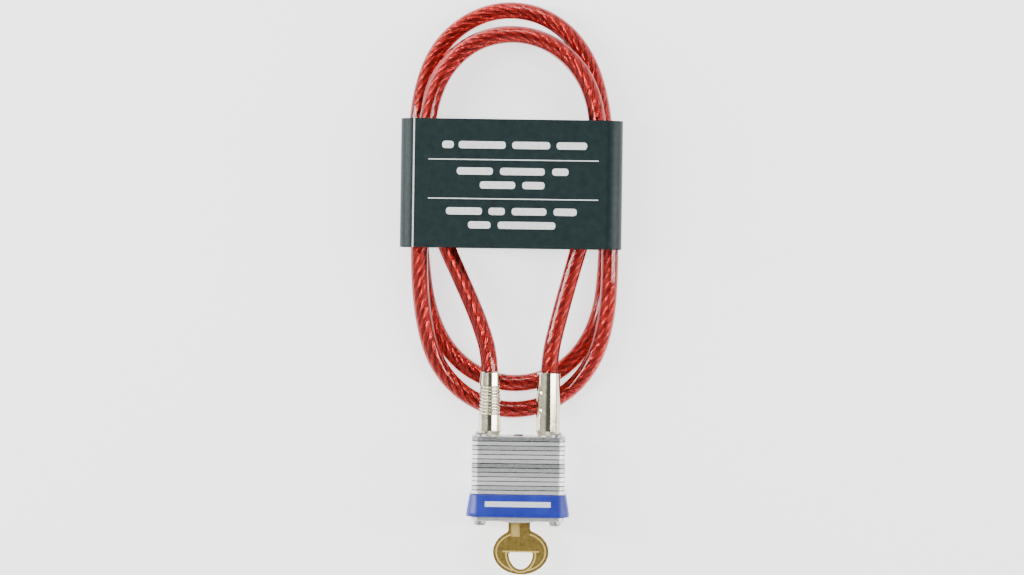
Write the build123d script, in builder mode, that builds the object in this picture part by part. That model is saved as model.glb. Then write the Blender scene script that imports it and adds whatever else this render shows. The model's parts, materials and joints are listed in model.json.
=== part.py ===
"""Cable luggage lock: laminated body, pin cylinder with key, two cable ferrules, coated cable, card sleeve.

Millimetres. The lock lies on its back: X across the body, Y from the key towards the cable, Z up.
"""

from math import atan, cos, degrees, pi, radians, sin, tan
import os

from build123d import *

os.makedirs("parts", exist_ok=True)

# ---- lock body -------------------------------------------------------------------------------
BODY_WIDTH = 30.0
BODY_DEPTH = 18.0
BODY_CORNER = 2.2
PLATE_COUNT = 19
PLATE_THICKNESS = 1.42
PLATE_BEVEL = 0.16
BODY_HEIGHT = PLATE_COUNT * PLATE_THICKNESS

FERRULE_RISE = 20.5  # top of the ferrules above the body
KEY_DROP = 17.6  # tip of the key's bow below the body
BODY_BOTTOM = (KEY_DROP - BODY_HEIGHT - FERRULE_RISE) / 2
BODY_TOP = BODY_BOTTOM + BODY_HEIGHT

FIT = 0.05  # clearance of pieces that are fixed in one another
RUN = 0.06  # radial running clearance of turning and sliding round pieces
GAP = 0.15  # clearance beside flat sliding pieces

RIVET_X = 12.1
RIVET_Z = 6.0
RIVET_RADIUS = 1.2
RIVET_HEAD_RADIUS = 1.95
RIVET_FOOT_HEIGHT = 1.6
RIVET_TOP_HEIGHT = 1.1
CENTRE_RIVET_RADIUS = 1.0
CENTRE_RIVET_HEAD = 1.55
CENTRE_RIVET_RISE = 0.5

BUMPER_FLARE_FOOT = 1.5
BUMPER_FLARE_TOP = 0.5
BUMPER_HEIGHT = 7.1
BUMPER_BOTTOM = BODY_BOTTOM + PLATE_THICKNESS
BUMPER_LIP = 1.1  # height of the rim that stands out along the foot of the bumper
MID_Z = BODY_DEPTH / 2 + BUMPER_FLARE_FOOT  # the body's middle plane above the table

# ---- cable ends ------------------------------------------------------------------------------
LEG_X = 9.4
LEG_RADIUS = 3.2
LEG_TIP_CHAMFER = 0.6
TOE_DEPTH = 8.0
HEEL_DEPTH = 20.0
LIFT = 8.2  # how far the cable ends rise when the lock opens
COLLAR_RISE = 1.6  # foot of each ferrule's barrel above the body
FERRULE_TOP = BODY_TOP + FERRULE_RISE

HEEL_FOOT_RADIUS = 3.75
HEEL_TOP_RADIUS = 3.3
RIB_COUNT = 9
RIB_PITCH = 1.05
RIB_DEPTH = 0.36
RIB_START = 7.2  # lowest rib groove above the body

TOE_FOOT_RADIUS = 3.9
TOE_TOP_RADIUS = 3.7
CRIMP_HEIGHTS = (8.8, 14.4)  # above the body
CRIMP_TURN = 42.0
CRIMP_LENGTH = 4.2
CRIMP_WIDTH = 2.8
CRIMP_DEPTH = 0.7

CABLE_RADIUS = 2.75
CORE_RADIUS = 2.05
CORE_GAP = 0.03
CABLE_SEAT_DEPTH = 5.0
CABLE_EXIT_RUN = 9.45

# ---- cylinder and key ------------------------------------------------------------------------
FACE_RADIUS = 5.9
FACE_PROUD = 0.7
HOUSING_RADIUS = 5.45
HOUSING_PLATES = 11
HOUSING_TOP = BODY_BOTTOM + HOUSING_PLATES * PLATE_THICKNESS - 0.1
BIBLE_WIDTH = 3.6
BIBLE_REACH = 10.4
PLUG_RADIUS = 3.4
PLUG_RECESS = 0.3
PIN_RADIUS = 0.65
PIN_COUNT = 4
PIN_PITCH = 2.7
FIRST_PIN_RISE = 4.3  # above the foot of the body
KEY_PIN_BASE = 1.7
DRIVER_PIN_LENGTH = 2.4
SPRING_COVER_THICKNESS = 0.6

BLADE_THICKNESS = 1.6
BLADE_BACK = 2.7
BLADE_LAND = KEY_PIN_BASE - 0.1
BLADE_CUT_DEPTH = 0.8
BLADE_TIP_GAP = 1.0  # blade tip short of the plug's end
KEYWAY_GAP = 0.12
NECK_WIDTH = 7.0
NECK_TOP_GAP = 0.3
BOW_OFFSET = 1.2
BOW_WIDTH = 17.9
BOW_HEIGHT = 14.4
BOW_THICKNESS = 1.8
RIDGE_INSET = 0.8  # raised border line, from the edge of the bow
RIDGE_WIDTH = 0.5
RIDGE_RISE = 0.22
RING_HOLE_WIDTH = 7.9
RING_HOLE_HEIGHT = 5.5
RING_HOLE_TOP = 10.5  # below the body
RING_HOLE_CORNER = 0.8
RING_RIM_INSET = 0.6  # raised line round the hole, from its edge
TOP_LINE = 11.8  # length of the raised line along the hole's flat top
GROOVE_WIDTH = 2.9
GROOVE_OFFSET = -0.6
GROOVE_END = 5.6  # below the body

# ---- lock work -------------------------------------------------------------------------------
CAM_RADIUS = 4.2
CAM_PLATE = 12  # the plate that the cam disc turns in
CRANK_RADIUS = 2.3
CRANK_PIN_RADIUS = 0.8
HEEL_LEVER_PLATE = 14
TOE_LEVER_PLATE = 17
LEVER_BITE = 0.9  # how far a lever's nose reaches into its leg
LEVER_INNER_HALF = 0.5  # reach of a lever past the middle plane
LEVER_OUTER_HALF = 4.4
LEVER_TAIL = 1.2
NOTCH_PLAY = 0.2
NOTCH_BELOW = 2.6
RETAINER_PLATE = 13
RETAINER_BITE = 0.9
RETAINER_WIDTH = 2.4
RETAINER_DEPTH = 1.7
HEEL_SPRING_RADIUS = 2.3
HEEL_SPRING_WIRE = 0.5
HEEL_SPRING_SEAT = 2  # plates below the heel spring
LEVER_SPRING_RADIUS = 0.5
LEVER_SPRING_WIRE = 0.22
LEVER_SPRING_LENGTH = 4.2

# ---- card sleeve -----------------------------------------------------------------------------
SLEEVE_WIDTH = 71.2
SLEEVE_HEIGHT = 41.2
SLEEVE_CENTRE_X = -3.45
SLEEVE_BOTTOM = 72.4
SLEEVE_DEPTH = 18.4
SLEEVE_CARD = 0.5
SLEEVE_CORNER = 4.0
FLAP_CARD = 0.4
FLAP_EDGE = 4.3  # cut edge of the outer layer, from the sleeve's left side
FLAP_END = 5.0  # where the outer layer runs out, from the right side


def plate_bottom(number):
    """Lower face of a plate, counted from 1 at the foot of the body."""
    return BODY_BOTTOM + (number - 1) * PLATE_THICKNESS


def level(y, x=0.0):
    """Plane across the body at height y: its x is X, its normal is +Y and its y is -Z."""
    return Plane(origin=(x, y, MID_Z), x_dir=(1, 0, 0), z_dir=(0, 1, 0))


def export(part, name):
    part.label = name
    export_step(part, f"parts/{name}.step")


LEVER_TRAVEL = CRANK_RADIUS * 2**0.5
LEVER_NOSE = LEG_X - LEG_RADIUS + LEVER_BITE
CRANK_OFFSET = CRANK_RADIUS / 2**0.5
CRANK_SWEEP = CRANK_RADIUS + CRANK_PIN_RADIUS + 0.3
LEG_HOLE = LEG_RADIUS + RUN
HEEL_END = BODY_TOP - HEEL_DEPTH
TOE_END = BODY_TOP - TOE_DEPTH
PIN_HEIGHTS = [BODY_BOTTOM + FIRST_PIN_RISE + PIN_PITCH * n for n in range(PIN_COUNT)]
LEVER_WIDTH = LEVER_OUTER_HALF + LEVER_INNER_HALF
LEVER_MIDDLE = (LEVER_OUTER_HALF - LEVER_INNER_HALF) / 2
LEVER_REACH = LEVER_NOSE + LEVER_TAIL
LEVER_SPRING_Z = LEVER_OUTER_HALF - 1.2
LEVER_POCKET_END = LEVER_TAIL + LEVER_SPRING_LENGTH + 0.1
PLUG_BOTTOM = BODY_BOTTOM - FACE_PROUD + PLUG_RECESS
RETAINER_X = -(LEG_X + LEG_RADIUS) + RETAINER_BITE - RETAINER_DEPTH / 2

# ---- laminations -----------------------------------------------------------------------------
for number in range(1, PLATE_COUNT + 1):
    low = plate_bottom(number)
    with BuildPart() as lamination:
        with BuildSketch(level(low)):
            RectangleRounded(BODY_WIDTH, BODY_DEPTH, BODY_CORNER)
        extrude(amount=PLATE_THICKNESS)
        rims = lamination.edges().filter_by(Plane.XZ)
        chamfer(rims, PLATE_BEVEL)
        with BuildSketch(level(low)):
            with GridLocations(2 * RIVET_X, 2 * RIVET_Z, 2, 2):
                Circle(RIVET_RADIUS + FIT)
            if low + PLATE_THICKNESS > TOE_END:
                with Locations((LEG_X, 0)):
                    Circle(LEG_HOLE)
            if number > HEEL_SPRING_SEAT:
                with Locations((-LEG_X, 0)):
                    Circle(LEG_HOLE)
            if number == 1:
                Circle(FACE_RADIUS + FIT)
            elif number <= HOUSING_PLATES:
                Circle(HOUSING_RADIUS + FIT)
                with Locations((BIBLE_REACH / 2, 0)):
                    Rectangle(BIBLE_REACH + 2 * FIT, BIBLE_WIDTH + 2 * FIT)
            elif number == CAM_PLATE:
                Circle(CAM_RADIUS + GAP)
            elif number <= TOE_LEVER_PLATE:
                Circle(CRANK_SWEEP)
            if number == PLATE_COUNT:
                Circle(CENTRE_RIVET_RADIUS + FIT)
            if number in (HEEL_LEVER_PLATE, TOE_LEVER_PLATE):
                side = -1 if number == HEEL_LEVER_PLATE else 1
                with Locations((side * (LEVER_NOSE - LEVER_POCKET_END) / 2, side * LEVER_MIDDLE)):
                    Rectangle(LEVER_NOSE + LEVER_POCKET_END, LEVER_WIDTH + 2 * GAP)
            if number == RETAINER_PLATE:
                with Locations((RETAINER_X, 0)):
                    Rectangle(RETAINER_DEPTH + 2 * FIT, RETAINER_WIDTH + 2 * FIT)
        extrude(amount=PLATE_THICKNESS, mode=Mode.SUBTRACT)
    export(lamination.part, f"lamination_{number:02d}")

# ---- rivets ----------------------------------------------------------------------------------
with BuildPart() as corner_rivets:
    with BuildSketch(level(BODY_BOTTOM - 0.01)):
        with GridLocations(2 * RIVET_X, 2 * RIVET_Z, 2, 2):
            Circle(RIVET_RADIUS)
    extrude(amount=BODY_HEIGHT + 0.02)
    with BuildSketch(level(BODY_BOTTOM - RIVET_FOOT_HEIGHT)):
        with GridLocations(2 * RIVET_X, 2 * RIVET_Z, 2, 2):
            Circle(RIVET_HEAD_RADIUS)
    extrude(amount=RIVET_FOOT_HEIGHT)
    with BuildSketch(level(BODY_TOP)):
        with GridLocations(2 * RIVET_X, 2 * RIVET_Z, 2, 2):
            Circle(RIVET_HEAD_RADIUS)
    extrude(amount=RIVET_TOP_HEIGHT)
    ends = corner_rivets.edges().group_by(Axis.Y)
    fillet(ends[0], 0.9)
    fillet(ends[-1], 0.7)
export(corner_rivets.part, "corner_rivets")

with BuildPart() as centre_rivet:
    with BuildSketch(level(plate_bottom(PLATE_COUNT))):
        Circle(CENTRE_RIVET_RADIUS)
    extrude(amount=PLATE_THICKNESS + 0.01)
    with BuildSketch(level(BODY_TOP)):
        Circle(CENTRE_RIVET_HEAD)
    extrude(amount=CENTRE_RIVET_RISE)
    fillet(centre_rivet.edges().group_by(Axis.Y)[-1], 0.4)
export(centre_rivet.part, "centre_rivet")

# ---- bumper ----------------------------------------------------------------------------------
BUMPER_LEAN = degrees(atan((BUMPER_FLARE_FOOT - BUMPER_FLARE_TOP) / (BUMPER_HEIGHT - BUMPER_LIP)))
with BuildPart() as bumper:
    for foot, height, lean in (
        (BUMPER_BOTTOM, BUMPER_LIP, 0),
        (BUMPER_BOTTOM + BUMPER_LIP, BUMPER_HEIGHT - BUMPER_LIP, BUMPER_LEAN),
    ):
        with BuildSketch(level(foot)):
            RectangleRounded(
                BODY_WIDTH + 2 * BUMPER_FLARE_FOOT,
                BODY_DEPTH + 2 * BUMPER_FLARE_FOOT,
                BODY_CORNER + BUMPER_FLARE_FOOT,
            )
        extrude(amount=height, taper=lean)
    fillet(bumper.edges().group_by(Axis.Y)[-1], 0.4)
    fillet(bumper.edges().group_by(Axis.Y)[0], 0.3)
    with BuildSketch(level(BUMPER_BOTTOM)):
        RectangleRounded(BODY_WIDTH + 2 * FIT, BODY_DEPTH + 2 * FIT, BODY_CORNER + FIT)
    extrude(amount=BUMPER_HEIGHT, mode=Mode.SUBTRACT)
export(bumper.part, "bumper")

# ---- cylinder --------------------------------------------------------------------------------
with BuildPart() as cylinder_face_plate:
    with BuildSketch(level(BODY_BOTTOM - FACE_PROUD)):
        Circle(FACE_RADIUS)
        Circle(PLUG_RADIUS + RUN, mode=Mode.SUBTRACT)
    extrude(amount=FACE_PROUD + PLATE_THICKNESS)
    rim = cylinder_face_plate.edges().group_by(Axis.Y)[0].sort_by(SortBy.RADIUS)[-1]
    chamfer(rim, 0.35)
export(cylinder_face_plate.part, "cylinder_face_plate")

HOUSING_BOTTOM = BODY_BOTTOM + PLATE_THICKNESS
HOUSING_HEIGHT = HOUSING_TOP - HOUSING_BOTTOM
COVER_SEAT = BIBLE_REACH - SPRING_COVER_THICKNESS
PIN_PLANE = Plane(origin=(0, 0, MID_Z), x_dir=(0, 1, 0), z_dir=(1, 0, 0))
with BuildPart() as cylinder_housing:
    with BuildSketch(level(HOUSING_BOTTOM)):
        Circle(HOUSING_RADIUS)
        with Locations((COVER_SEAT / 2, 0)):
            Rectangle(COVER_SEAT, BIBLE_WIDTH)
        Circle(PLUG_RADIUS + RUN, mode=Mode.SUBTRACT)
    extrude(amount=HOUSING_HEIGHT)
    with BuildSketch(PIN_PLANE.offset(PLUG_RADIUS - 1)):
        with Locations(*[(y, 0) for y in PIN_HEIGHTS]):
            Circle(PIN_RADIUS + RUN)
    extrude(amount=BIBLE_REACH, mode=Mode.SUBTRACT)
export(cylinder_housing.part, "cylinder_housing")

with BuildPart() as spring_cover:
    with BuildSketch(level(HOUSING_BOTTOM)):
        with Locations((COVER_SEAT + SPRING_COVER_THICKNESS / 2, 0)):
            Rectangle(SPRING_COVER_THICKNESS, BIBLE_WIDTH)
    extrude(amount=HOUSING_HEIGHT)
export(spring_cover.part, "spring_cover")

KEYWAY_BACK = BLADE_BACK + KEYWAY_GAP
KEYWAY_FRONT = BLADE_LAND + KEYWAY_GAP
BLADE_TIP = HOUSING_TOP - BLADE_TIP_GAP
with BuildPart() as plug:
    with BuildSketch(level(PLUG_BOTTOM)):
        Circle(PLUG_RADIUS)
    extrude(amount=HOUSING_TOP - PLUG_BOTTOM)
    with BuildSketch(level(PLUG_BOTTOM)):
        with Locations(((KEYWAY_FRONT - KEYWAY_BACK) / 2, 0)):
            Rectangle(KEYWAY_FRONT + KEYWAY_BACK, BLADE_THICKNESS + 2 * KEYWAY_GAP)
    extrude(amount=BLADE_TIP + KEYWAY_GAP - PLUG_BOTTOM, mode=Mode.SUBTRACT)
    with BuildSketch(PIN_PLANE):
        with Locations(*[(y, 0) for y in PIN_HEIGHTS]):
            Circle(PIN_RADIUS + RUN)
    extrude(amount=PLUG_RADIUS + 1, mode=Mode.SUBTRACT)
export(plug.part, "plug")

with BuildPart() as key_pins:
    with BuildSketch(PIN_PLANE.offset(KEY_PIN_BASE)):
        with Locations(*[(y, 0) for y in PIN_HEIGHTS]):
            Circle(PIN_RADIUS)
    extrude(amount=PLUG_RADIUS - 0.1 - KEY_PIN_BASE)
    chamfer(key_pins.edges().group_by(Axis.X)[0], 0.2)
export(key_pins.part, "key_pins")

DRIVER_BASE = PLUG_RADIUS + RUN
with BuildPart() as driver_pins:
    with BuildSketch(PIN_PLANE.offset(DRIVER_BASE)):
        with Locations(*[(y, 0) for y in PIN_HEIGHTS]):
            Circle(PIN_RADIUS)
    extrude(amount=DRIVER_PIN_LENGTH)
export(driver_pins.part, "driver_pins")


def coil(plane, radius, wire, length, turns):
    """Round wire wound along a plane's normal, starting one wire radius up."""
    rise = length - wire
    start = plane.offset(wire / 2)
    with BuildLine() as path:
        Helix(
            pitch=rise / turns,
            height=rise,
            radius=radius - wire / 2,
            center=start.origin,
            direction=start.z_dir,
        )
    with BuildPart() as spring:
        with BuildSketch(path.line ^ 0):
            Circle(wire / 2)
        sweep(path=path.line)
    return spring.part


pin_spring_length = COVER_SEAT - DRIVER_BASE - DRIVER_PIN_LENGTH - 0.1
pin_spring_base = DRIVER_BASE + DRIVER_PIN_LENGTH + 0.05
pin_coils = [
    coil(Plane(origin=(pin_spring_base, y, MID_Z), x_dir=(0, 1, 0), z_dir=(1, 0, 0)),
         PIN_RADIUS - 0.05, 0.2, pin_spring_length, 5)
    for y in PIN_HEIGHTS
]
with BuildPart() as pin_springs:
    add(pin_coils)
export(pin_springs.part, "pin_springs")

# ---- cam driver and levers -------------------------------------------------------------------
CAM_BOTTOM = plate_bottom(CAM_PLATE) + GAP / 2
with BuildPart() as cam_driver:
    with BuildSketch(level(HOUSING_TOP)):
        Circle(PLUG_RADIUS - 0.6)
    extrude(amount=CAM_BOTTOM - HOUSING_TOP)
    with BuildSketch(level(CAM_BOTTOM)):
        Circle(CAM_RADIUS)
    extrude(amount=PLATE_THICKNESS - GAP)
    with BuildSketch(level(CAM_BOTTOM)):
        with Locations((-CRANK_OFFSET, -CRANK_OFFSET)):
            Circle(CRANK_PIN_RADIUS)
    extrude(amount=plate_bottom(HEEL_LEVER_PLATE + 1) - CAM_BOTTOM - GAP)
    with BuildSketch(level(CAM_BOTTOM)):
        with Locations((CRANK_OFFSET, CRANK_OFFSET)):
            Circle(CRANK_PIN_RADIUS)
    extrude(amount=plate_bottom(TOE_LEVER_PLATE + 1) - CAM_BOTTOM - GAP)
export(cam_driver.part, "cam_driver")

for name, side, plate in (("heel_lever", -1, HEEL_LEVER_PLATE), ("toe_lever", 1, TOE_LEVER_PLATE)):
    with BuildPart() as lever:
        with BuildSketch(level(plate_bottom(plate) + 0.06)):
            with Locations((side * (LEVER_NOSE - LEVER_TAIL) / 2, side * LEVER_MIDDLE)):
                Rectangle(LEVER_REACH, LEVER_WIDTH)
            with Locations((side * CRANK_OFFSET, side * (CRANK_OFFSET + CRANK_RADIUS) / 2)):
                Rectangle(
                    2 * (CRANK_PIN_RADIUS + GAP),
                    CRANK_RADIUS - CRANK_OFFSET + 2 * (CRANK_PIN_RADIUS + GAP),
                    mode=Mode.SUBTRACT,
                )
        extrude(amount=PLATE_THICKNESS - 0.12)
    export(lever.part, name)
    spring_start = -side * (LEVER_TAIL + 0.05)
    spring_plane = Plane(
        origin=(spring_start, plate_bottom(plate) + PLATE_THICKNESS / 2, MID_Z - side * LEVER_SPRING_Z),
        x_dir=(0, 1, 0),
        z_dir=(-side, 0, 0),
    )
    lever_coil = coil(spring_plane, LEVER_SPRING_RADIUS, LEVER_SPRING_WIRE, LEVER_SPRING_LENGTH, 6)
    export(lever_coil, f"{name}_spring")

# ---- heel spring and retainer ----------------------------------------------------------------
heel_seat = plate_bottom(HEEL_SPRING_SEAT + 1)
heel_coil = coil(
    level(heel_seat + 0.05, -LEG_X), HEEL_SPRING_RADIUS, HEEL_SPRING_WIRE, HEEL_END - heel_seat - 0.1, 4
)
export(heel_coil, "heel_spring")

with BuildPart() as heel_retainer:
    with BuildSketch(level(plate_bottom(RETAINER_PLATE) + 0.06)):
        with Locations((RETAINER_X, 0)):
            Rectangle(RETAINER_DEPTH, RETAINER_WIDTH)
    extrude(amount=PLATE_THICKNESS - 0.12)
export(heel_retainer.part, "heel_retainer")

# ---- ferrules --------------------------------------------------------------------------------
HEEL_AXIS_PLANE = Plane(origin=(-LEG_X, 0, MID_Z), x_dir=(1, 0, 0), z_dir=(0, 0, 1))
TOE_AXIS_PLANE = Plane(origin=(LEG_X, 0, MID_Z), x_dir=(1, 0, 0), z_dir=(0, 0, 1))
COLLAR = BODY_TOP + COLLAR_RISE


def leg_outline(end, foot_radius, top_radius):
    """Half section of a ferrule, from its tip in the body to its crimped mouth."""
    Polyline(
        (0, end),
        (LEG_RADIUS - LEG_TIP_CHAMFER, end),
        (LEG_RADIUS, end + LEG_TIP_CHAMFER),
        (LEG_RADIUS, BODY_TOP + 0.2),
        (foot_radius, COLLAR),
        (top_radius, FERRULE_TOP - 0.3),
        (top_radius - 0.3, FERRULE_TOP),
        (CABLE_RADIUS, FERRULE_TOP),
        (CABLE_RADIUS, FERRULE_TOP - CABLE_SEAT_DEPTH),
        (0, FERRULE_TOP - CABLE_SEAT_DEPTH),
        close=True,
    )


with BuildPart() as heel_ferrule:
    with BuildSketch(HEEL_AXIS_PLANE):
        with BuildLine():
            leg_outline(HEEL_END, HEEL_FOOT_RADIUS, HEEL_TOP_RADIUS)
        make_face()
    heel_axis = Axis((-LEG_X, 0, MID_Z), (0, 1, 0))
    revolve(axis=heel_axis)
    with BuildSketch(HEEL_AXIS_PLANE):
        for n in range(RIB_COUNT):
            height = BODY_TOP + RIB_START + RIB_PITCH * n
            share = (height - COLLAR) / (FERRULE_TOP - COLLAR)
            radius = HEEL_FOOT_RADIUS + (HEEL_TOP_RADIUS - HEEL_FOOT_RADIUS) * share
            with Locations((radius + 0.12, height)):
                Circle(RIB_DEPTH + 0.12)
    revolve(axis=heel_axis, mode=Mode.SUBTRACT)
    lever_low = plate_bottom(HEEL_LEVER_PLATE)
    notch_foot = lever_low - NOTCH_BELOW
    notch_height = PLATE_THICKNESS + NOTCH_BELOW + NOTCH_PLAY
    with BuildSketch(level(notch_foot)):
        with Locations((-LEVER_NOSE + NOTCH_PLAY / 2 + 1, 0)):
            Rectangle(2 + 3 * NOTCH_PLAY, 2 * LEG_RADIUS + 1)
    extrude(amount=notch_height, mode=Mode.SUBTRACT)
    retainer_low = plate_bottom(RETAINER_PLATE)
    with BuildSketch(level(retainer_low - LIFT - NOTCH_PLAY)):
        with Locations((RETAINER_X - NOTCH_PLAY, 0)):
            Rectangle(RETAINER_DEPTH + 4 * NOTCH_PLAY, RETAINER_WIDTH + 2 * NOTCH_PLAY)
    extrude(amount=LIFT + PLATE_THICKNESS + 2 * NOTCH_PLAY, mode=Mode.SUBTRACT)
export(heel_ferrule.part, "heel_ferrule")

with BuildPart() as toe_ferrule:
    with BuildSketch(TOE_AXIS_PLANE):
        with BuildLine():
            leg_outline(TOE_END, TOE_FOOT_RADIUS, TOE_TOP_RADIUS)
        make_face()
    revolve(axis=Axis((LEG_X, 0, MID_Z), (0, 1, 0)))
    lever_low = plate_bottom(TOE_LEVER_PLATE)
    with BuildSketch(level(lever_low - NOTCH_BELOW)):
        with Locations((LEVER_NOSE - NOTCH_PLAY / 2 - 1, 0)):
            Rectangle(2 + 3 * NOTCH_PLAY, 2 * LEG_RADIUS + 1)
    extrude(amount=PLATE_THICKNESS + NOTCH_BELOW + NOTCH_PLAY, mode=Mode.SUBTRACT)
    for height in CRIMP_HEIGHTS:
        turn = radians(CRIMP_TURN)
        outward = (-sin(turn), 0, cos(turn))
        skin = TOE_TOP_RADIUS - CRIMP_DEPTH
        crimp = Plane(
            origin=(LEG_X + outward[0] * skin, BODY_TOP + height, MID_Z + outward[2] * skin),
            x_dir=(0, 1, 0),
            z_dir=outward,
        )
        with BuildSketch(crimp):
            Polygon((-0.5, 0), (0, -0.35), (0.5, 0), (0, 0.35), align=None)
        with BuildSketch(crimp.offset(2 * CRIMP_DEPTH)):
            Polygon(
                (-CRIMP_LENGTH / 2, 0),
                (0, -CRIMP_WIDTH / 2),
                (CRIMP_LENGTH / 2, 0),
                (0, CRIMP_WIDTH / 2),
                align=None,
            )
        loft(mode=Mode.SUBTRACT)
export(toe_ferrule.part, "toe_ferrule")

# ---- cable -----------------------------------------------------------------------------------
SEAT_Y = FERRULE_TOP - CABLE_SEAT_DEPTH
EXIT_Y = SEAT_Y + CABLE_EXIT_RUN
CABLE_ROUTE = [
    (-LEG_X, SEAT_Y, MID_Z), (-LEG_X, EXIT_Y, MID_Z),
    # heel side, up through the sleeve
    (-13.2, 49.0, 10.3), (-19.3, 62.5, 9.8), (-26.0, 76.5, 8.8), (-30.0, 95.0, 8.5), (-31.0, 113.5, 8.5),
    # first arch
    (-28.5, 127.0, 8.3), (-20.2, 137.2, 7.0), (-8.0, 142.4, 5.5), (5.5, 141.0, 4.5), (16.5, 133.5, 4.0),
    (23.5, 121.3, 3.6), (26.4, 104.0, 3.6), (27.8, 84.0, 3.6), (27.6, 66.0, 3.1),
    # inner loop below the sleeve
    (26.2, 52.3, 2.8), (20.8, 39.8, 2.75), (11.2, 31.2, 2.75), (-1.4, 28.0, 2.75), (-14.0, 31.0, 2.75),
    (-24.0, 39.5, 2.75), (-30.0, 52.2, 2.9), (-32.4, 68.0, 3.4), (-33.8, 89.0, 3.6), (-34.5, 109.0, 3.6),
    # outer arch
    (-33.2, 123.0, 3.7), (-28.8, 135.7, 4.1), (-20.5, 144.7, 5.0), (-9.5, 149.6, 6.0), (2.7, 149.2, 7.1),
    (13.4, 143.5, 8.1), (21.0, 133.5, 8.9), (25.2, 120.6, 9.3), (27.2, 103.0, 9.3), (28.5, 82.0, 9.3),
    # outer loop below the sleeve
    (28.8, 65.0, 9.0), (28.0, 50.0, 8.5), (24.4, 36.8, 6.7), (16.5, 26.3, 4.1), (5.2, 20.5, 3.1),
    (-7.4, 20.0, 3.0), (-18.8, 25.2, 3.5), (-27.3, 35.0, 5.4), (-31.2, 48.0, 8.8), (-32.9, 64.0, 11.9),
    (-32.7, 83.0, 13.7), (-31.6, 102.0, 14.1),
    # last arch
    (-30.2, 117.8, 14.1), (-25.4, 130.0, 14.1), (-16.2, 138.6, 14.2), (-4.0, 141.8, 14.3), (8.4, 139.0, 14.5),
    (18.0, 131.0, 14.8), (23.5, 119.0, 15.0), (24.5, 103.0, 14.9), (21.8, 84.0, 14.0),
    # toe side, down to the ferrule
    (16.6, 66.0, 12.2), (12.4, 50.0, 11.0),
    (LEG_X, EXIT_Y, MID_Z), (LEG_X, SEAT_Y, MID_Z),
]


def bend_radii(points):
    """Largest tidy arc at each inner point: 0.45 of its shorter run over the tangent of half its turn."""
    radii = []
    for before, here, after in zip(points, points[1:], points[2:]):
        run_in = Vector(*here) - Vector(*before)
        run_out = Vector(*after) - Vector(*here)
        turn = run_in.get_angle(run_out)
        radii.append(0.45 * min(run_in.length, run_out.length) / tan(radians(turn) / 2))
    return radii


CABLE_RADII = bend_radii(CABLE_ROUTE)
print("cable bend radii, mm:", [round(r, 1) for r in CABLE_RADII])
with BuildLine() as cable_path:
    FilletPolyline(*CABLE_ROUTE, radius=CABLE_RADII)
CABLE_LENGTH = cable_path.wire().length
print("cable length, mm:", round(CABLE_LENGTH, 1))

with BuildPart() as cable_core:
    with BuildSketch(cable_path.line ^ 0):
        Circle(CORE_RADIUS - CORE_GAP)
    sweep(path=cable_path.line)
export(cable_core.part, "cable_core")

with BuildPart() as cable_jacket:
    with BuildSketch(cable_path.line ^ 0):
        Circle(CABLE_RADIUS)
        Circle(CORE_RADIUS, mode=Mode.SUBTRACT)
    sweep(path=cable_path.line)
export(cable_jacket.part, "cable_jacket")
section = pi * (CABLE_RADIUS**2 - CORE_RADIUS**2)
print("jacket volume over section x length:", round(cable_jacket.part.volume / section / CABLE_LENGTH, 4))

# ---- card sleeve -----------------------------------------------------------------------------
SLEEVE_PLANE = Plane(
    origin=(SLEEVE_CENTRE_X, SLEEVE_BOTTOM, SLEEVE_DEPTH / 2), x_dir=(1, 0, 0), z_dir=(0, 1, 0)
)
with BuildPart() as card_sleeve:
    with BuildSketch(SLEEVE_PLANE):
        RectangleRounded(SLEEVE_WIDTH, SLEEVE_DEPTH, SLEEVE_CORNER)
        RectangleRounded(
            SLEEVE_WIDTH - 2 * SLEEVE_CARD,
            SLEEVE_DEPTH - 2 * SLEEVE_CARD,
            SLEEVE_CORNER - SLEEVE_CARD,
            mode=Mode.SUBTRACT,
        )
        with Locations(((FLAP_EDGE - FLAP_END) / 2, -(SLEEVE_DEPTH + FLAP_CARD) / 2)):
            Rectangle(SLEEVE_WIDTH - FLAP_EDGE - FLAP_END, FLAP_CARD)
    extrude(amount=SLEEVE_HEIGHT)
export(card_sleeve.part, "card_sleeve")

# ---- key -------------------------------------------------------------------------------------
KEY_PLANE = Plane.XY.offset(MID_Z)
NECK_TOP = PLUG_BOTTOM - NECK_TOP_GAP
BOW_CENTRE_Y = BODY_BOTTOM - KEY_DROP + BOW_HEIGHT / 2
RING_HOLE_Y = BODY_BOTTOM - RING_HOLE_TOP


def ring_hole(grow, rise=0.0, mode=Mode.ADD):
    """D-shaped hole: the lower half of an ellipse hanging from its flat top, which is raised by rise."""
    with BuildSketch(KEY_PLANE, mode=Mode.PRIVATE) as half:
        with Locations((BOW_OFFSET, RING_HOLE_Y)):
            Ellipse(RING_HOLE_WIDTH / 2 + grow, RING_HOLE_HEIGHT + grow)
        with Locations((BOW_OFFSET, RING_HOLE_Y + rise)):
            Rectangle(30, 30, align=(Align.CENTER, Align.MAX), mode=Mode.INTERSECT)
        fillet(half.vertices().group_by(Axis.Y)[-1], RING_HOLE_CORNER)
    add(half.sketch_local, mode=mode)


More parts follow.
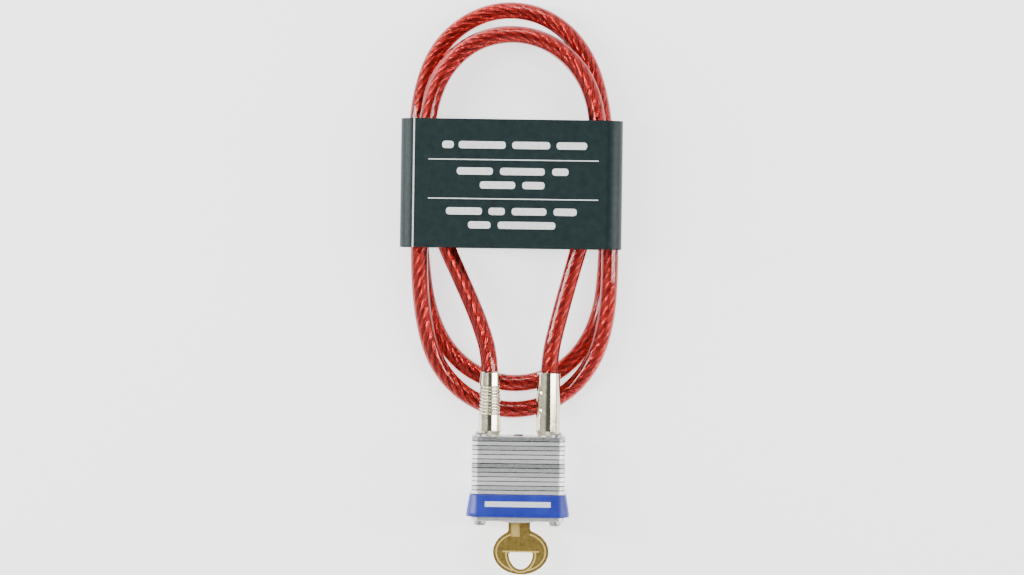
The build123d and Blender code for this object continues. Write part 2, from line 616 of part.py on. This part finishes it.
with BuildPart() as key:
    # blade, with a cut between each two pins
    with BuildSketch(KEY_PLANE.offset(-BLADE_THICKNESS / 2)):
        with BuildLine():
            cuts = []
            for low, high in zip(PIN_HEIGHTS, PIN_HEIGHTS[1:]):
                cuts += [
                    (BLADE_LAND, low + 0.7),
                    (BLADE_LAND - BLADE_CUT_DEPTH, (low + high) / 2),
                    (BLADE_LAND, high - 0.7),
                ]
            Polyline(
                (-BLADE_BACK, NECK_TOP - 0.5),
                (BLADE_LAND, NECK_TOP - 0.5),
                *cuts,
                (BLADE_LAND, PIN_HEIGHTS[-1] + 0.8),
                (0, BLADE_TIP),
                (-BLADE_BACK + 0.8, BLADE_TIP),
                (-BLADE_BACK, BLADE_TIP - 0.8),
                close=True,
            )
        make_face()
    extrude(amount=BLADE_THICKNESS)
    # neck and bow
    with BuildSketch(KEY_PLANE.offset(-BOW_THICKNESS / 2)):
        with Locations((BOW_OFFSET, BOW_CENTRE_Y)):
            Ellipse(BOW_WIDTH / 2, BOW_HEIGHT / 2)
        with Locations((BOW_OFFSET / 2, NECK_TOP)):
            Rectangle(NECK_WIDTH, BOW_HEIGHT / 2, align=(Align.CENTER, Align.MAX))
        fillet(
            [v for v in vertices() if -BOW_HEIGHT / 2 < v.Y - NECK_TOP < -0.5], 1.2
        )
    extrude(amount=BOW_THICKNESS)
    # raised lines on both faces: border, rim of the ring hole, and the hole's flat top
    with BuildSketch(KEY_PLANE.offset(-BOW_THICKNESS / 2 - RIDGE_RISE)):
        with Locations((BOW_OFFSET, BOW_CENTRE_Y)):
            Ellipse(BOW_WIDTH / 2 - RIDGE_INSET, BOW_HEIGHT / 2 - RIDGE_INSET)
            Ellipse(
                BOW_WIDTH / 2 - RIDGE_INSET - RIDGE_WIDTH,
                BOW_HEIGHT / 2 - RIDGE_INSET - RIDGE_WIDTH,
                mode=Mode.SUBTRACT,
            )
        with Locations((BOW_OFFSET / 2, NECK_TOP + 1)):
            Rectangle(NECK_WIDTH, 5, align=(Align.CENTER, Align.MAX), mode=Mode.SUBTRACT)
        ring_hole(RING_RIM_INSET + RIDGE_WIDTH, 0.3)
        with Locations((BOW_OFFSET, RING_HOLE_Y)):
            Rectangle(TOP_LINE, RIDGE_WIDTH, align=(Align.CENTER, Align.MIN))
        ring_hole(RING_RIM_INSET, mode=Mode.SUBTRACT)
    extrude(amount=BOW_THICKNESS + 2 * RIDGE_RISE)
    with BuildSketch(KEY_PLANE.offset(-BOW_THICKNESS)):
        ring_hole(0)
    extrude(amount=2 * BOW_THICKNESS, mode=Mode.SUBTRACT)
    # milled groove from the neck down the bow, on both faces
    for face in (-1, 1):
        with BuildSketch(KEY_PLANE.offset(face * BOW_THICKNESS / 2)):
            with Locations((GROOVE_OFFSET, NECK_TOP + 0.1)):
                Rectangle(
                    GROOVE_WIDTH, NECK_TOP - BODY_BOTTOM + GROOVE_END, align=(Align.CENTER, Align.MAX)
                )
        extrude(amount=0.4, both=True, mode=Mode.SUBTRACT)
export(key.part, "key")
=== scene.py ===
"""Looks of the cable luggage lock: jacketed wire cable, printed card sleeve, plated steel, brass, plastic."""

import json
import math

import bmesh
import bpy
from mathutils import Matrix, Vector

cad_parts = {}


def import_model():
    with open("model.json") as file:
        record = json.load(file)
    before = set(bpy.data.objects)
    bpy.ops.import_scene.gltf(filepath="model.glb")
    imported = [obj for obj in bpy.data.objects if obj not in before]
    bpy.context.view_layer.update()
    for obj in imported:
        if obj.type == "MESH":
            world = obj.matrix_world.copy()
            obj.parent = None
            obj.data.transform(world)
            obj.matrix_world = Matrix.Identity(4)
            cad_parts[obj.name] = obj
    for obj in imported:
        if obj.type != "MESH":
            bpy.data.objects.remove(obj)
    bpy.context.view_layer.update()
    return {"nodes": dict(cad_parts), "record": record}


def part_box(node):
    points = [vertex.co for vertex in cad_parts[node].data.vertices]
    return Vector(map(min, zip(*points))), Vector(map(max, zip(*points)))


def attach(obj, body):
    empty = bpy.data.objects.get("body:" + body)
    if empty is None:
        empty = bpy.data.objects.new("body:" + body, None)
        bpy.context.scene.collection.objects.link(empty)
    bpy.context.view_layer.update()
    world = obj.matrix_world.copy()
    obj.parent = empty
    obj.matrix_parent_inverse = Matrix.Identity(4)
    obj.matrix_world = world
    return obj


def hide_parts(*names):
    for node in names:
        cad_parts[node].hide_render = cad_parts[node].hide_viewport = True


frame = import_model()
MM = 0.001

# ---- sizes, in millimetres -------------------------------------------------------------------
BODY_BOTTOM = -14.94
BODY_TOP = 12.04
PLATE_THICKNESS = 1.42
SEAM_SHADE_SHARE = 0.09  # share of a plate's thickness at each of its edges painted dark, as painted shade in the seam
BRIGHT_ROWS = (8, 9, 14)  # counted from 0 at the foot of the body
LEG_X = 9.4
MID_Z = 10.5
SEAT_Y = 27.54
EXIT_Y = 36.99
BAR_LENGTH = 21.0
BAR_HEIGHT = 1.7
BAR_Y = -9.4
BAR_LOWEST_Z = 19.0  # the bar is only on the bumper's front
BOW_HALF_THICKNESS = 0.9
CABLE_DIAMETER = 5.5
STRAND_COUNT = 6
STRAND_RING = 1.45
STRAND_RADIUS = 0.8
STRAND_LAY = 24.0
STRAND_STEP = 1.2

CABLE_ROUTE = [
    (-LEG_X, SEAT_Y, MID_Z), (-LEG_X, EXIT_Y, MID_Z),
    # heel side, up through the sleeve
    (-13.2, 49.0, 10.3), (-19.3, 62.5, 9.8), (-26.0, 76.5, 8.8), (-30.0, 95.0, 8.5), (-31.0, 113.5, 8.5),
    # first arch
    (-28.5, 127.0, 8.3), (-20.2, 137.2, 7.0), (-8.0, 142.4, 5.5), (5.5, 141.0, 4.5), (16.5, 133.5, 4.0),
    (23.5, 121.3, 3.6), (26.4, 104.0, 3.6), (27.8, 84.0, 3.6), (27.6, 66.0, 3.1),
    # inner loop below the sleeve
    (26.2, 52.3, 2.8), (20.8, 39.8, 2.75), (11.2, 31.2, 2.75), (-1.4, 28.0, 2.75), (-14.0, 31.0, 2.75),
    (-24.0, 39.5, 2.75), (-30.0, 52.2, 2.9), (-32.4, 68.0, 3.4), (-33.8, 89.0, 3.6), (-34.5, 109.0, 3.6),
    # outer arch
    (-33.2, 123.0, 3.7), (-28.8, 135.7, 4.1), (-20.5, 144.7, 5.0), (-9.5, 149.6, 6.0), (2.7, 149.2, 7.1),
    (13.4, 143.5, 8.1), (21.0, 133.5, 8.9), (25.2, 120.6, 9.3), (27.2, 103.0, 9.3), (28.5, 82.0, 9.3),
    # outer loop below the sleeve
    (28.8, 65.0, 9.0), (28.0, 50.0, 8.5), (24.4, 36.8, 6.7), (16.5, 26.3, 4.1), (5.2, 20.5, 3.1),
    (-7.4, 20.0, 3.0), (-18.8, 25.2, 3.5), (-27.3, 35.0, 5.4), (-31.2, 48.0, 8.8), (-32.9, 64.0, 11.9),
    (-32.7, 83.0, 13.7), (-31.6, 102.0, 14.1),
    # last arch
    (-30.2, 117.8, 14.1), (-25.4, 130.0, 14.1), (-16.2, 138.6, 14.2), (-4.0, 141.8, 14.3), (8.4, 139.0, 14.5),
    (18.0, 131.0, 14.8), (23.5, 119.0, 15.0), (24.5, 103.0, 14.9), (21.8, 84.0, 14.0),
    # toe side, down to the ferrule
    (16.6, 66.0, 12.2), (12.4, 50.0, 11.0),
    (LEG_X, EXIT_Y, MID_Z), (LEG_X, SEAT_Y, MID_Z),
]


# ---- node helpers ----------------------------------------------------------------------------
class Nodes:
    """A material's node tree, with short calls to add and join nodes."""

    def __init__(self, name):
        self.material = bpy.data.materials.new(name)
        self.material.use_nodes = True
        self.tree = self.material.node_tree
        self.shader = self.tree.nodes["Principled BSDF"]
        self.output = self.tree.nodes["Material Output"]

    def add(self, kind, inputs=None, **settings):
        node = self.tree.nodes.new(kind)
        for key, value in settings.items():
            setattr(node, key, value)
        for key, value in (inputs or {}).items():
            self.give(node.inputs[key], value)
        return node

    def give(self, socket, value):
        if isinstance(value, bpy.types.NodeSocket):
            self.tree.links.new(value, socket)
        else:
            socket.default_value = value

    def set(self, **inputs):
        for key, value in inputs.items():
            self.give(self.shader.inputs[key.replace("_", " ")], value)

    def place(self, scale=(1, 1, 1)):
        """Place in the row frame, stretched; it moves with the piece."""
        where = self.add("ShaderNodeTexCoord").outputs["Object"]
        return self.add("ShaderNodeMapping", {"Vector": where, "Scale": scale}).outputs[0]

    def noise(self, where, scale, detail=4.0, roughness=0.55):
        inputs = {"Vector": where, "Scale": scale, "Detail": detail, "Roughness": roughness}
        return self.add("ShaderNodeTexNoise", inputs).outputs["Fac"]

    def ramp(self, value, *stops):
        """Colour ramp; each stop is (position, colour)."""
        node = self.add("ShaderNodeValToRGB", {"Fac": value})
        elements = node.color_ramp.elements
        while len(elements) < len(stops):
            elements.new(0.5)
        for element, (position, colour) in zip(elements, stops):
            element.position = position
            element.color = (*colour, 1)
        return node.outputs["Color"]

    def span(self, value, low, high, out_low, out_high):
        inputs = {"Value": value, "From Min": low, "From Max": high, "To Min": out_low, "To Max": out_high}
        return self.add("ShaderNodeMapRange", inputs).outputs[0]

    def math(self, operation, a, b=0.0, c=0.0):
        node = self.add("ShaderNodeMath", operation=operation)
        for socket, given in zip(node.inputs, (a, b, c)):
            self.give(socket, given)
        return node.outputs[0]

    def near(self, value, middle, reach):
        """1 where the value lies within reach of the middle, else 0."""
        return self.math("COMPARE", value, middle, reach)

    def mix(self, factor, a, b):
        node = self.add("ShaderNodeMix", data_type="RGBA")
        self.give(node.inputs["Factor"], factor)
        self.give(node.inputs[6], a if isinstance(a, bpy.types.NodeSocket) else (*a, 1))
        self.give(node.inputs[7], b if isinstance(b, bpy.types.NodeSocket) else (*b, 1))
        return node.outputs[2]

    def bump(self, height, distance, strength):
        inputs = {"Height": height, "Distance": distance, "Strength": strength}
        return self.add("ShaderNodeBump", inputs).outputs[0]


# ---- materials -------------------------------------------------------------------------------
def plate_steel():
    """Zinc-plated lamination: brushed, each plate a little different, some bright, and painted shade as dark
    bands in the seams between plates.
    """
    m = Nodes("plate_steel")
    brushed = m.noise(m.place((90, 1400, 400)), 6.0, 6.0, 0.7)
    speckle = m.noise(m.place((1, 1.5, 1)), 2300.0, 3.0, 0.7)
    height = m.add("ShaderNodeSeparateXYZ", {"Vector": m.place()}).outputs["Y"]
    plates_up = m.math("DIVIDE", m.math("ADD", height, -BODY_BOTTOM * MM), PLATE_THICKNESS * MM)
    row = m.math("FLOOR", plates_up)
    own = m.add("ShaderNodeTexWhiteNoise", {"W": row}, noise_dimensions="1D").outputs["Value"]
    tone = m.math("ADD", m.math("MULTIPLY", brushed, 0.35), m.math("MULTIPLY", own, 0.3))
    tone = m.math("ADD", tone, m.math("MULTIPLY", speckle, 0.55))
    for bright_row in BRIGHT_ROWS:
        tone = m.math("ADD", tone, m.math("MULTIPLY", m.near(row, bright_row, 0.4), 0.5))
    colour = m.ramp(tone, (0.4, (0.22, 0.23, 0.23)), (0.58, (0.62, 0.63, 0.63)), (0.8, (0.97, 0.97, 0.97)))
    # Painted shade: each plate's edges are painted near black for the shade in the seams between plates; the
    # body's top and bottom ends are left without it.
    middle = (BODY_BOTTOM + BODY_TOP) / 2
    reach = (BODY_TOP - BODY_BOTTOM) / 2 - 0.29
    ends = m.math("SUBTRACT", 1.0, m.near(height, middle * MM, reach * MM))
    plate = m.near(m.math("FRACT", plates_up), 0.5, 0.5 - SEAM_SHADE_SHARE)
    colour = m.mix(m.math("MAXIMUM", plate, ends), (0.05, 0.05, 0.05), colour)
    m.set(Base_Color=colour, Metallic=0.9, Roughness=m.span(brushed, 0.3, 0.7, 0.3, 0.5))
    m.set(Normal=m.bump(speckle, 0.03 * MM, 0.6))
    return m.material


def plated(name, dark, light, roughness, grain=900.0):
    """Plated or bare metal with a fine cloudy grain."""
    m = Nodes(name)
    cloud = m.noise(m.place(), grain, 5.0, 0.65)
    wide = m.noise(m.place(), grain / 8, 3.0)
    tone = m.math("ADD", m.math("MULTIPLY", cloud, 0.5), m.math("MULTIPLY", wide, 0.5))
    m.set(Base_Color=m.ramp(tone, (0.35, dark), (0.68, light)), Metallic=1.0)
    m.set(Roughness=m.span(cloud, 0.3, 0.7, roughness * 0.8, roughness * 1.25))
    m.set(Normal=m.bump(cloud, 0.01 * MM, 0.4))
    return m.material


def key_brass():
    """Stamped brass: matt field; raised lines and groove polished, with a painted highlight of bright gold at
    lower metallic.
    """
    m = Nodes("key_brass")
    cloud = m.noise(m.place(), 900.0, 5.0, 0.6)
    field = m.ramp(cloud, (0.35, (0.34, 0.23, 0.05)), (0.68, (0.54, 0.38, 0.1)))
    height = m.add("ShaderNodeSeparateXYZ", {"Vector": m.place()}).outputs["Z"]
    from_middle = m.math("ABSOLUTE", m.math("SUBTRACT", height, MID_Z * MM))
    matt = m.near(from_middle, (BOW_HALF_THICKNESS - 0.12) * MM, 0.2 * MM)
    # Painted highlight: off the matt field, the raised lines and groove take bright gold at lower metallic,
    # so they read bright whatever they reflect.
    m.set(Base_Color=m.mix(matt, (0.88, 0.64, 0.22), field), Metallic=m.math("MULTIPLY_ADD", matt, 0.5, 0.35))
    m.set(Roughness=m.math("MULTIPLY_ADD", matt, 0.12, 0.22), Normal=m.bump(cloud, 0.02 * MM, 0.5))
    return m.material


def blue_plastic():
    """Satin blue plastic with a plain printed bar on its front."""
    m = Nodes("blue_plastic")
    grain = m.noise(m.place(), 1800.0, 3.0)
    wide = m.noise(m.place(), 120.0, 3.0)
    colour = m.ramp(wide, (0.3, (0.008, 0.016, 0.25)), (0.75, (0.02, 0.04, 0.4)))
    where = m.add("ShaderNodeSeparateXYZ", {"Vector": m.place()})
    bar = m.math("MULTIPLY", m.near(where.outputs["X"], 0.0, BAR_LENGTH / 2 * MM),
                 m.near(where.outputs["Y"], BAR_Y * MM, BAR_HEIGHT / 2 * MM))
    bar = m.math("MULTIPLY", bar, m.math("GREATER_THAN", where.outputs["Z"], BAR_LOWEST_Z * MM))
    m.set(Base_Color=m.mix(bar, colour, (0.72, 0.75, 0.86)), Roughness=m.span(grain, 0.3, 0.7, 0.28, 0.4))
    m.set(Normal=m.bump(grain, 0.02 * MM, 0.25))
    return m.material


def red_vinyl():
    """Clear red jacket that shows the wires under it."""
    m = Nodes("red_vinyl")
    ripple = m.noise(m.place(), 160.0, 3.0)
    m.set(Base_Color=(0.78, 0.055, 0.05, 1), Transmission_Weight=1.0, IOR=1.36, Roughness=0.07)
    m.set(Normal=m.bump(ripple, 0.05 * MM, 0.3))
    return m.material


def wire_steel():
    """Twisted strand: fine wires wound the other way, from the mesh's own length and turn coordinates, with
    painted shade in the valleys between wires.
    """
    m = Nodes("wire_steel")
    where = m.add("ShaderNodeTexCoord").outputs["UV"]
    split = m.add("ShaderNodeSeparateXYZ", {"Vector": where})
    turns = m.math("MULTIPLY", split.outputs["Y"], 9.0)
    wound = m.math("ADD", turns, m.math("MULTIPLY", split.outputs["X"], -0.16))
    wave = m.math("SINE", m.math("MULTIPLY", wound, 2 * math.pi))
    height = m.span(wave, -1.0, 1.0, 0.0, 1.0)
    cloud = m.noise(m.place(), 300.0, 3.0)
    bright = m.mix(cloud, (0.8, 0.74, 0.7), (0.97, 0.94, 0.9))
    # Painted shade: the colour goes dark in the valleys between the wires, following the bump height.
    colour = m.mix(height, (0.3, 0.22, 0.2), bright)
    m.set(Base_Color=colour, Metallic=0.9, Roughness=0.17)
    m.set(Normal=m.bump(height, 0.05 * MM, 0.8))
    return m.material


def card():
    """Dark printed card with a satin varnish."""
    m = Nodes("card")
    fibre = m.noise(m.place((1, 0.6, 1)), 1900.0, 4.0, 0.75)
    mottle = m.noise(m.place(), 380.0, 4.0, 0.6)
    colour = m.ramp(mottle, (0.3, (0.003, 0.012, 0.013)), (0.75, (0.009, 0.024, 0.025)))
    m.set(Base_Color=colour, Roughness=m.span(fibre, 0.3, 0.7, 0.34, 0.5), Specular_IOR_Level=0.3)
    m.set(Normal=m.bump(fibre, 0.03 * MM, 0.6))
    return m.material


def white_print(name="white_print", low=0.72, high=0.9):
    m = Nodes(name)
    mottle = m.noise(m.place(), 900.0, 4.0, 0.6)
    m.set(Base_Color=m.ramp(mottle, (0.3, (low, low, low)), (0.6, (high, high, high))), Roughness=0.55)
    return m.material


MATERIALS = {
    "plate_steel": plate_steel(),
    "rivet_steel": plated("rivet_steel", (0.3, 0.3, 0.3), (0.62, 0.61, 0.6), 0.34),
    "dark_steel": plated("dark_steel", (0.06, 0.06, 0.06), (0.16, 0.16, 0.16), 0.4),
    "face_steel": plated("face_steel", (0.3, 0.29, 0.27), (0.58, 0.56, 0.52), 0.36),
    "blue_plastic": blue_plastic(),
    "brass": plated("brass", (0.52, 0.35, 0.12), (0.78, 0.58, 0.26), 0.3),
    "key_brass": key_brass(),
    "spring_steel": plated("spring_steel", (0.4, 0.4, 0.4), (0.66, 0.66, 0.66), 0.25),
    "nickel": plated("nickel", (0.54, 0.5, 0.36), (0.82, 0.78, 0.62), 0.11, 700.0),
    "wire_steel": wire_steel(),
    "red_vinyl": red_vinyl(),
    "card": card(),
}
for entry in frame["record"]["subparts"]:
    mesh = frame["nodes"][entry["node"]].data
    mesh.materials.clear()
    mesh.materials.append(MATERIALS[entry["material_slot"]])


# ---- cable -----------------------------------------------------------------------------------
def route_curve(name, thickness):
    """NURBS curve along the cable's route."""
    data = bpy.data.curves.new(name, "CURVE")
    data.dimensions = "3D"
    data.resolution_u = 10
    data.bevel_depth = thickness
    data.bevel_resolution = 6
    data.use_fill_caps = True
    spline = data.splines.new("NURBS")
    spline.points.add(len(CABLE_ROUTE) - 1)
    for point, (x, y, z) in zip(spline.points, CABLE_ROUTE):
        point.co = (x * MM, y * MM, z * MM, 1)
    spline.order_u = 3
    spline.use_endpoint_u = True
    curve = bpy.data.objects.new(name, data)
    bpy.context.collection.objects.link(curve)
    return curve


def centre_line(step):
    """Points read from the route's spline, evened out to one step apart."""
    thin = route_curve("route_reader", 0)
    bpy.context.view_layer.update()
    mesh = bpy.data.meshes.new_from_object(thin.evaluated_get(bpy.context.evaluated_depsgraph_get()))
    points = [v.co.copy() for v in mesh.vertices]
    bpy.data.meshes.remove(mesh)
    bpy.data.objects.remove(thin)
    even = [points[0]]
    left = step
    for a, b in zip(points, points[1:]):
        run = (b - a).length
        at = left
        while at <= run:
            even.append(a.lerp(b, at / run))
            at += step
        left = at - run
    even.append(points[-1])
    return even


def strands(line, step):
    """Wires laid round the centre line in a helix, each with length and turn coordinates."""
    mesh = bpy.data.meshes.new("cable_strands")
    bm = bmesh.new()
    uv = bm.loops.layers.uv.new("UVMap")
    sides = 10
    tangents = [(b - a).normalized() for a, b in zip(line, line[1:])]
    tangents.append(tangents[-1])
    across = tangents[0].cross(Vector((0, 0, 1))).normalized()
    frames = []
    for tangent in tangents:
        across = (across - tangent * across.dot(tangent)).normalized()
        frames.append((across.copy(), tangent.cross(across)))
    for strand in range(STRAND_COUNT + 1):
        ring_radius = STRAND_RING * MM if strand < STRAND_COUNT else 0.0
        rings = []
        for i, (point, (side, up)) in enumerate(zip(line, frames)):
            turn = 2 * math.pi * (i * step / (STRAND_LAY * MM) + strand / STRAND_COUNT)
            outward = side * math.cos(turn) + up * math.sin(turn)
            around = tangents[i].cross(outward)
            centre = point + outward * ring_radius
            ring = []
            for k in range(sides):
                angle = 2 * math.pi * k / sides
                ring.append(bm.verts.new(
                    centre + (outward * math.cos(angle) + around * math.sin(angle)) * STRAND_RADIUS * MM
                ))
            rings.append(ring)
        for i, (low, high) in enumerate(zip(rings, rings[1:])):
            for k in range(sides):
                n = (k + 1) % sides
                face = bm.faces.new((low[k], low[n], high[n], high[k]))
                face.smooth = True
                corners = ((i, k), (i, k + 1), (i + 1, k + 1), (i + 1, k))
                for loop, (u, v) in zip(face.loops, corners):
                    loop[uv].uv = (u * step / MM, v / sides)
        bm.faces.new(list(reversed(rings[0])))
        bm.faces.new(rings[-1])
    bm.normal_update()
    bm.to_mesh(mesh)
    bm.free()
    mesh.materials.append(MATERIALS["wire_steel"])
    piece = bpy.data.objects.new("cable_strands", mesh)
    bpy.context.collection.objects.link(piece)
    return piece


jacket = route_curve("cable_jacket_clear", CABLE_DIAMETER / 2 * MM)
jacket.data.materials.append(MATERIALS["red_vinyl"])
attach(jacket, "cable")
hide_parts("cable_jacket")

route_line = centre_line(STRAND_STEP * MM)
wires = strands(route_line, STRAND_STEP * MM)
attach(wires, "cable")
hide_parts("cable_core")


# ---- print on the sleeve ---------------------------------------------------------------------
def flat_bars(name, bars, top, thickness, material, corner=0.0):
    """Thin raised bars facing up; each bar is (left, right, bottom, top) in millimetres."""
    mesh = bpy.data.meshes.new(name)
    bm = bmesh.new()
    for left, right, bottom, high in bars:
        radius = min(corner, (right - left) / 2.01, (high - bottom) / 2.01)
        outline = []
        for cx, cy, start in (
            (right - radius, high - radius, 0),
            (left + radius, high - radius, 90),
            (left + radius, bottom + radius, 180),
            (right - radius, bottom + radius, 270),
        ):
            for part in range(4 if radius else 1):
                angle = math.radians(start + 30 * part)
                outline.append(((cx + radius * math.cos(angle)) * MM, (cy + radius * math.sin(angle)) * MM))
        low_ring = [bm.verts.new((x, y, top)) for x, y in outline]
        high_ring = [bm.verts.new((x, y, top + thickness)) for x, y in outline]
        bm.faces.new(high_ring)
        bm.faces.new(list(reversed(low_ring)))
        for i in range(len(outline)):
            n = (i + 1) % len(outline)
            bm.faces.new((low_ring[i], low_ring[n], high_ring[n], high_ring[i]))
    bm.normal_update()
    bm.to_mesh(mesh)
    bm.free()
    mesh.materials.append(material)
    piece = bpy.data.objects.new(name, mesh)
    bpy.context.collection.objects.link(piece)
    return piece


sleeve_low, sleeve_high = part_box("card_sleeve")
LEFT = sleeve_low[0] / MM
BOTTOM = sleeve_low[1] / MM
SLEEVE_TOP = sleeve_high[2]
PRINT_LIFT = 0.02 * MM
# rows of word-shaped bars: (height above the sleeve's foot, bar height, [(left, right) from its left side])
ROWS = (
    (31.7, 2.3, ((13.3, 17.0), (18.6, 33.6), (35.7, 47.8), (49.9, 59.6))),
    (23.3, 2.3, ((18.1, 29.6), (31.9, 46.2), (48.6, 53.8))),
    (18.9, 2.3, ((25.5, 36.8), (39.1, 46.2))),
    (10.5, 2.3, ((14.8, 26.3), (28.4, 33.6), (35.8, 46.9), (49.2, 56.6))),
    (6.1, 2.3, ((21.9, 29.1), (31.4, 49.8))),
)
words = []
for rise, high, spans in ROWS:
    for start, end in spans:
        words.append((LEFT + start, LEFT + end, BOTTOM + rise, BOTTOM + rise + high))
white = white_print()
greeking = flat_bars("sleeve_print_words", words, SLEEVE_TOP, PRINT_LIFT, white, 0.9)
rules = [(LEFT + 9.0, LEFT + 63.4, BOTTOM + rise, BOTTOM + rise + 0.3) for rise in (28.0, 15.5)]
rule_lines = flat_bars("sleeve_print_rules", rules, SLEEVE_TOP, PRINT_LIFT, white)
cut_edge = flat_bars(
    "sleeve_cut_edge",
    [(LEFT + 4.05, LEFT + 4.5, BOTTOM, BOTTOM + (sleeve_high[1] - sleeve_low[1]) / MM)],
    SLEEVE_TOP - 0.3 * MM,
    0.32 * MM,
    white_print("card_edge", 0.6, 0.85),
)
for piece in (greeking, rule_lines, cut_edge):
    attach(piece, "sleeve")

# ---- stage, camera and lights ----------------------------------------------------------------
VIEW_CENTRE = Vector((-2.8, 59.8, 0)) * MM
VIEW_WIDTH = 330 * MM
CAMERA_DISTANCE = 1.0
CAMERA_TURN = math.radians(0.8)


def floor():
    mesh = bpy.data.meshes.new("floor")
    size = 3.0
    mesh.from_pydata(
        [(-size, -size, 0), (size, -size, 0), (size, size, 0), (-size, size, 0)], [], [(0, 1, 2, 3)]
    )
    m = Nodes("floor")
    m.set(Base_Color=(0.93, 0.93, 0.93, 1), Roughness=0.9)
    m.set(Emission_Color=(1, 1, 1, 1), Emission_Strength=1.6)
    mesh.materials.append(m.material)
    piece = bpy.data.objects.new("floor", mesh)
    piece.location.z = -0.0002
    bpy.context.collection.objects.link(piece)


def softbox(name, offset, size, power):
    """Rectangular lamp that faces the middle of the view."""
    place = VIEW_CENTRE + Vector(offset)
    data = bpy.data.lights.new(name, "AREA")
    data.shape = "RECTANGLE"
    data.size = size[0]
    data.size_y = size[1]
    data.energy = power
    lamp = bpy.data.objects.new(name, data)
    lamp.location = place
    lamp.rotation_euler = (VIEW_CENTRE - place).to_track_quat("-Z", "Y").to_euler()
    bpy.context.collection.objects.link(lamp)


def world():
    """Studio surround: bright towards the sides, dark overhead."""
    scene_world = bpy.data.worlds.new("studio")
    bpy.context.scene.world = scene_world
    scene_world.use_nodes = True
    tree = scene_world.node_tree
    direction = tree.nodes.new("ShaderNodeTexCoord")
    split = tree.nodes.new("ShaderNodeSeparateXYZ")
    ramp = tree.nodes.new("ShaderNodeValToRGB")
    tree.links.new(direction.outputs["Generated"], split.inputs[0])
    tree.links.new(split.outputs["Z"], ramp.inputs["Fac"])
    tree.links.new(ramp.outputs["Color"], tree.nodes["Background"].inputs["Color"])
    for element, (position, grey) in zip(ramp.color_ramp.elements, ((0.78, 1.0), (0.97, 0.16))):
        element.position = position
        element.color = (grey, grey, grey, 1)
    tree.nodes["Background"].inputs["Strength"].default_value = 0.85


camera_data = bpy.data.cameras.new("camera")
camera_data.sensor_width = 36
camera_data.lens = 36 * CAMERA_DISTANCE / VIEW_WIDTH
camera_data.clip_start = 0.01
camera = bpy.data.objects.new("camera", camera_data)
camera.location = VIEW_CENTRE + Vector((0, 0, CAMERA_DISTANCE + MID_Z * MM))
camera.rotation_euler = (0, 0, CAMERA_TURN)
bpy.context.collection.objects.link(camera)
bpy.context.scene.camera = camera

floor()
world()
softbox("left_box", (-0.55, 0.1, 0.45), (0.09, 0.8), 6.0)
softbox("right_box", (0.6, 0.0, 0.5), (0.09, 0.8), 4.5)
softbox("back_box", (0.0, 0.7, 0.6), (0.3, 0.12), 1.5)
